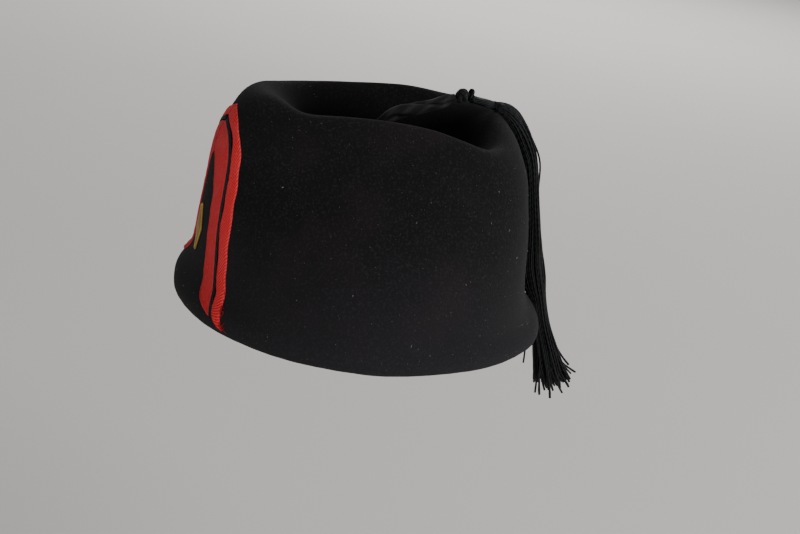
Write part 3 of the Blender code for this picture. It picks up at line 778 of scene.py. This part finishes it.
class FEZ_OT_skirt(bpy.types.Operator):
    """The tassel's threads: over the back crest, down the back and fanned out below the rim"""
    bl_idname = "fez.skirt"
    bl_label = "Tassel threads"

    def execute(self, context):
        tassel = context.scene.fez_tassel
        material = spun_thread(
            "rayon_tassel_thread", tassel.thread, linear("#15181b"), 0.0034, 0.50, 0.16, 0.0)
        rng = np.random.default_rng(7)
        golden_angle = math.pi * (3 - math.sqrt(5))
        lines, radii = [], []
        for number in range(tassel.thread_count):
            reach = math.sqrt((number + 0.5) / tassel.thread_count)
            angle = number * golden_angle
            line = self.thread_line(reach * math.cos(angle), reach * math.sin(angle), rng)
            lines.append(line)
            size = np.full(len(line), tassel.thread_size / 2 * rng.uniform(0.85, 1.1))
            size[-4:] *= (1.08, 1.2, 1.36, 1.25)
            radii.append(size)
        for line in (self.bowed_thread(rng), self.stray_thread(rng)):
            lines.append(line)
            radii.append(np.full(len(line), tassel.thread_size / 2))
        skirt = threads("tassel_threads", lines, radii, 6, material)
        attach(skirt, "root")
        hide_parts("tassel_skirt")
        return {"FINISHED"}

    def thread_line(self, across, outward, rng):
        """One thread, by its shares of the bundle's half width and half depth."""
        places = np.linspace(0, len(BUNDLE) - 1, 90)
        table = catmull_rom(np.array(BUNDLE), places)
        middle, half_width, half_depth = table[:, :3], table[:, 3], table[:, 4]
        along = np.gradient(middle, axis=0)
        along /= np.linalg.norm(along, axis=1, keepdims=True)
        normal = np.stack([np.zeros(len(table)), -along[:, 2], along[:, 1]], axis=1)
        seed = rng.uniform(0, 100, 2)
        wander = np.array([
            [noise.noise(Vector((place * 0.30, seed[0], 0))), noise.noise(Vector((place * 0.30, seed[1], 5)))]
            for place in places])
        below_rim = np.clip(-middle[:, 2] / 0.045, 0, 1)
        amount = 0.18 + 0.40 * below_rim
        line = middle + normal * ((outward + wander[:, 1] * amount) * half_depth)[:, None]
        line[:, 0] += (across + wander[:, 0] * amount) * half_width
        curl = rng.normal(0, 1, 3) * (0.0022, 0.0019, 0.0011)
        line += curl * (np.clip(-middle[:, 2] / 0.025 - 1, 0, 1) ** 2)[:, None]
        line = evenly(line, 0.0026)
        return line[:len(line) - int(rng.uniform(0, 4.6))]

    def bowed_thread(self, rng):
        """A thread on the bundle's outside that stands off in a slack bow below the crest."""
        line = self.thread_line(0.35, 0.9, rng)
        bow = np.clip(1 - np.abs(line[:, 2] - 0.078) / 0.017, 0, 1)
        line[:, 1] += 0.0019 * bow ** 2 * (3 - 2 * bow)
        return line

    def stray_thread(self, rng):
        """A short thread that parts from the bundle below the rim and hangs nearer the hat."""
        line = self.thread_line(-0.3, -0.9, rng)
        line = line[line[:, 2] > -0.036]
        line[:, 1] -= 0.0075 * np.clip(-line[:, 2] / 0.036, 0, 1)
        return line


class FEZ_OT_crown(bpy.types.Operator):
    """Felt body from the solid crown's own form, smoothed and a little uneven"""
    bl_idname = "fez.crown"
    bl_label = "Felt crown"

    def execute(self, context):
        felt = context.scene.fez_felt
        crown = merged_copy("crown", "felt_crown")
        crease_rim(crown.data, 0.0012, 0.85)
        apply_subdivision(crown, 2)
        mesh = crown.data
        places = vertex_array(mesh)
        noise.seed_set(FELT_SEED)
        for index, place in enumerate(places):
            places[index] += self.shift(Vector(place), felt.swell)
        mesh.vertices.foreach_set("co", places.ravel())
        mesh.update()
        float_attribute(mesh, "worn", np.clip(convexity(mesh) * 9 - 0.1, 0, 1))
        mesh.materials.append(pressed_wool_felt(felt))
        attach(crown, "root")
        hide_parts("crown")
        return {"FINISHED"}

    def shift(self, place, swell):
        """How far the felt is off the even form: slow waves, and a loose rim."""
        slow = noise.noise_vector(place * 26) * swell
        small = noise.noise_vector(place * 85 + Vector((3, 1, 2))) * swell * 0.22
        rim = max(0.0, 1 - place.z / 0.012)
        wave = noise.noise(Vector((place.x * 30, place.y * 30, 4))) * 0.0005 * rim
        sag = 0.0009 * rim * max(0.0, math.cos(math.atan2(place.y, place.x) + 0.45))
        return slow + small + Vector((0, 0, wave - sag))


class FEZ_OT_stripes(bpy.types.Operator):
    """Red bands, double cord lines and twill tapes, sewn on both sides of the front"""
    bl_idname = "fez.stripes"
    bl_label = "Front stripes"

    def execute(self, context):
        trim = context.scene.fez_trim
        chart = FrontChart(bpy.data.objects["felt_crown"])
        plan = StripePlan(chart)
        band = woven_cloth("red_wool_band", trim.band, linear("#d2565a"), trim.rib * 0.37, 0.0, 0.06)
        tape = woven_cloth("red_twill_tape", trim.tape, linear("#d65254"), trim.rib, 1.3, 0.06)
        piping = spun_thread("black_soutache", trim.piping, linear("#2b2829"), 0.0040, 0.7, 0.2, 0.03)
        fibre = plain_fibre("red_fray", trim.fray)
        for side_name, side in (("left", 1), ("right", -1)):
            made = {
                "band": sewn_strip(f"sewn_band_{side_name}", chart, plan, "band", side, trim.stitch, band),
                "tape": sewn_strip(f"twill_tape_{side_name}", chart, plan, "tape", side, trim.stitch, tape),
                "piping": self.cord_lines(f"cord_lines_{side_name}", chart, plan, side, piping),
            }
            for part, piece in made.items():
                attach(piece, "root")
                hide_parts(f"{part}_{side_name}")
            fray = self.frayed_threads(f"frayed_threads_{side_name}", chart, plan, side, fibre)
            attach(fray, "root")
        return {"FINISHED"}

    def cord_lines(self, name, chart, plan, side, material):
        """Two fine cords side by side in the gap between band and tape."""
        lines = []
        for offset in (-0.00042, 0.00042):
            line = []
            for station in range(STATIONS + 1):
                height, arc = plan.place(station, plan.piping[station] + offset / plan.width[station])
                point, normal = chart.at(side * max(arc, 0.0007), height)
                line.append(point + normal * 0.00062)
            lines.append(line)
        return threads(name, lines, 0.00045, 10, material)

    def frayed_threads(self, name, chart, plan, side, material):
        """Loose curls of thread along the tape's outer edge near its foot."""
        rng = np.random.default_rng(11 if side > 0 else 12)
        lines = []
        for number in range(40 if side > 0 else 16):
            at_foot = number % 4 == 0
            station = 0 if at_foot else int(rng.uniform(2, 0.30 * STATIONS))
            height, arc = plan.place(station, rng.uniform(0, plan.piping[0]) if at_foot else 0.0)
            lift, heading, bend = 0.0005, rng.uniform(-0.8, 0.8), rng.normal(0, 1.0)
            line = []
            for _ in range(int(rng.uniform(5, 16))):
                point, normal = chart.at(side * arc, height)
                line.append(point + normal * lift)
                heading += bend * 0.45 + rng.normal(0, 0.35)
                bend += rng.normal(0, 0.4)
                arc += 0.00032 * math.cos(heading)
                height = max(0.0016, height + 0.00032 * math.sin(heading))
                lift = float(np.clip(lift + rng.normal(0.0, 0.00015), 0.0002, 0.0009))
            lines.append(line)
        return threads(name, lines, 0.00012, 4, material)


class FEZ_OT_motif(bpy.types.Operator):
    """A small lozenge of laid gold thread with a corded edge"""
    bl_idname = "fez.motif"
    bl_label = "Gold lozenge"

    def execute(self, context):
        trim = context.scene.fez_trim
        chart = FrontChart(bpy.data.objects["felt_crown"])
        material = spun_thread("gilt_laid_thread", trim.gold, linear("#c4a660"), 0.0011, 0.38, 0.5, 0.0, 0.75)
        foot, head, half_width = MOTIF_FOOT, MOTIF_HEAD, MOTIF_HALF_WIDTH
        middle = (foot + head) / 2
        lines, radii = [], []
        for height in np.arange(foot + 0.0012, head - 0.0008, 0.00072):
            reach = half_width * (1 - abs(height - middle) / (middle - foot)) - 0.0003
            line = []
            for step in range(13):
                across = 2 * step / 12 - 1
                point, normal = chart.at(across * reach, height + 0.0009 * across)
                line.append(point + normal * (0.0003 + 0.0008 * (1 - across ** 4)))
            lines.append(line)
            radii.append(0.00040)
        corners = [(0, foot), (half_width, middle), (0, head), (-half_width, middle), (0, foot)]
        outline = []
        for (arc, height), (next_arc, next_height) in zip(corners, corners[1:]):
            for step in range(20):
                share = step / 20
                across = arc + (next_arc - arc) * share
                point, normal = chart.at(across, height + (next_height - height) * share)
                outline.append(point + normal * 0.0005)
        lines.append(outline + outline[:1])
        radii.append(0.00048)
        motif = threads("gold_lozenge", lines, radii, 7, material)
        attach(motif, "root")
        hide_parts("motif")
        return {"FINISHED"}


class FEZ_OT_lint(bpy.types.Operator):
    """Pale lint on the felt, most of it low on the left side towards the back"""
    bl_idname = "fez.lint"
    bl_label = "Lint"

    def execute(self, context):
        felt = context.scene.fez_felt
        tree = BVHTree.FromObject(bpy.data.objects["felt_crown"], context.evaluated_depsgraph_get())
        rng = np.random.default_rng(23)
        lines, radii = [], []
        while len(lines) < felt.lint_count:
            angle = rng.uniform(0, math.tau)
            height = 0.100 * rng.uniform(0, 1) ** 1.3
            out = Vector((math.cos(angle), math.sin(angle), 0))
            if rng.uniform(0, 1) > 0.55 + 0.45 * math.cos(angle - 0.7):
                continue
            place, normal, _, _ = tree.ray_cast(out * 0.16 + Vector((0, 0, height)), -out)
            if place is None:
                continue
            lines.append(self.lint_line(place, normal, rng))
            radii.append(rng.uniform(0.00006, 0.00012))
        lint = threads("lint", lines, radii, 4, plain_fibre("cotton_lint", felt.lint))
        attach(lint, "root")
        return {"FINISHED"}

    def lint_line(self, place, normal, rng):
        """A bent fibre or a short fleck that lies on the felt."""
        fibre = rng.uniform(0, 1) < 0.05
        steps = 7 if fibre else 2
        step_length = rng.uniform(0.00012, 0.00022) if fibre else rng.uniform(0.00008, 0.00016)
        heading = rng.uniform(0, math.tau)
        side = normal.orthogonal().normalized()
        up = normal.cross(side)
        line = []
        for _ in range(steps):
            line.append(place + normal * 0.00012)
            heading += rng.normal(0, 0.45)
            place = place + (side * math.cos(heading) + up * math.sin(heading)) * step_length
        return line


class FEZ_PT_panel(bpy.types.Panel):
    """Steps of the fez, in the order in which they are made"""
    bl_label = "Fez"
    bl_idname = "FEZ_PT_panel"
    bl_space_type = "VIEW_3D"
    bl_region_type = "UI"
    bl_category = "Fez"

    def draw(self, context):
        for name in ("fez_stage", "fez_felt", "fez_trim", "fez_tassel"):
            box = self.layout.box()
            settings = getattr(context.scene, name)
            for field in settings.bl_rna.properties.keys():
                if field not in ("rna_type", "name"):
                    box.prop(settings, field)
        for step in STEPS:
            self.layout.operator(step.bl_idname)


SETTINGS = {"fez_stage": FezStage, "fez_felt": FezFelt, "fez_trim": FezTrim, "fez_tassel": FezTassel}
STEPS = (
    FEZ_OT_stage, FEZ_OT_cord, FEZ_OT_crown, FEZ_OT_sleeve, FEZ_OT_skirt, FEZ_OT_stripes,
    FEZ_OT_motif, FEZ_OT_lint)


def register():
    for name, group in SETTINGS.items():
        bpy.utils.register_class(group)
        setattr(bpy.types.Scene, name, PointerProperty(type=group))
    for step in STEPS:
        bpy.utils.register_class(step)
    bpy.utils.register_class(FEZ_PT_panel)


def unregister():
    bpy.utils.unregister_class(FEZ_PT_panel)
    for step in reversed(STEPS):
        bpy.utils.unregister_class(step)
    for name, group in SETTINGS.items():
        delattr(bpy.types.Scene, name)
        bpy.utils.unregister_class(group)


def main():
    register()
    bpy.ops.fez.stage()
    bpy.ops.fez.cord()
    bpy.ops.fez.crown()
    bpy.ops.fez.sleeve()
    bpy.ops.fez.skirt()
    bpy.ops.fez.stripes()
    bpy.ops.fez.motif()
    bpy.ops.fez.lint()


if __name__ == "__main__":
    main()
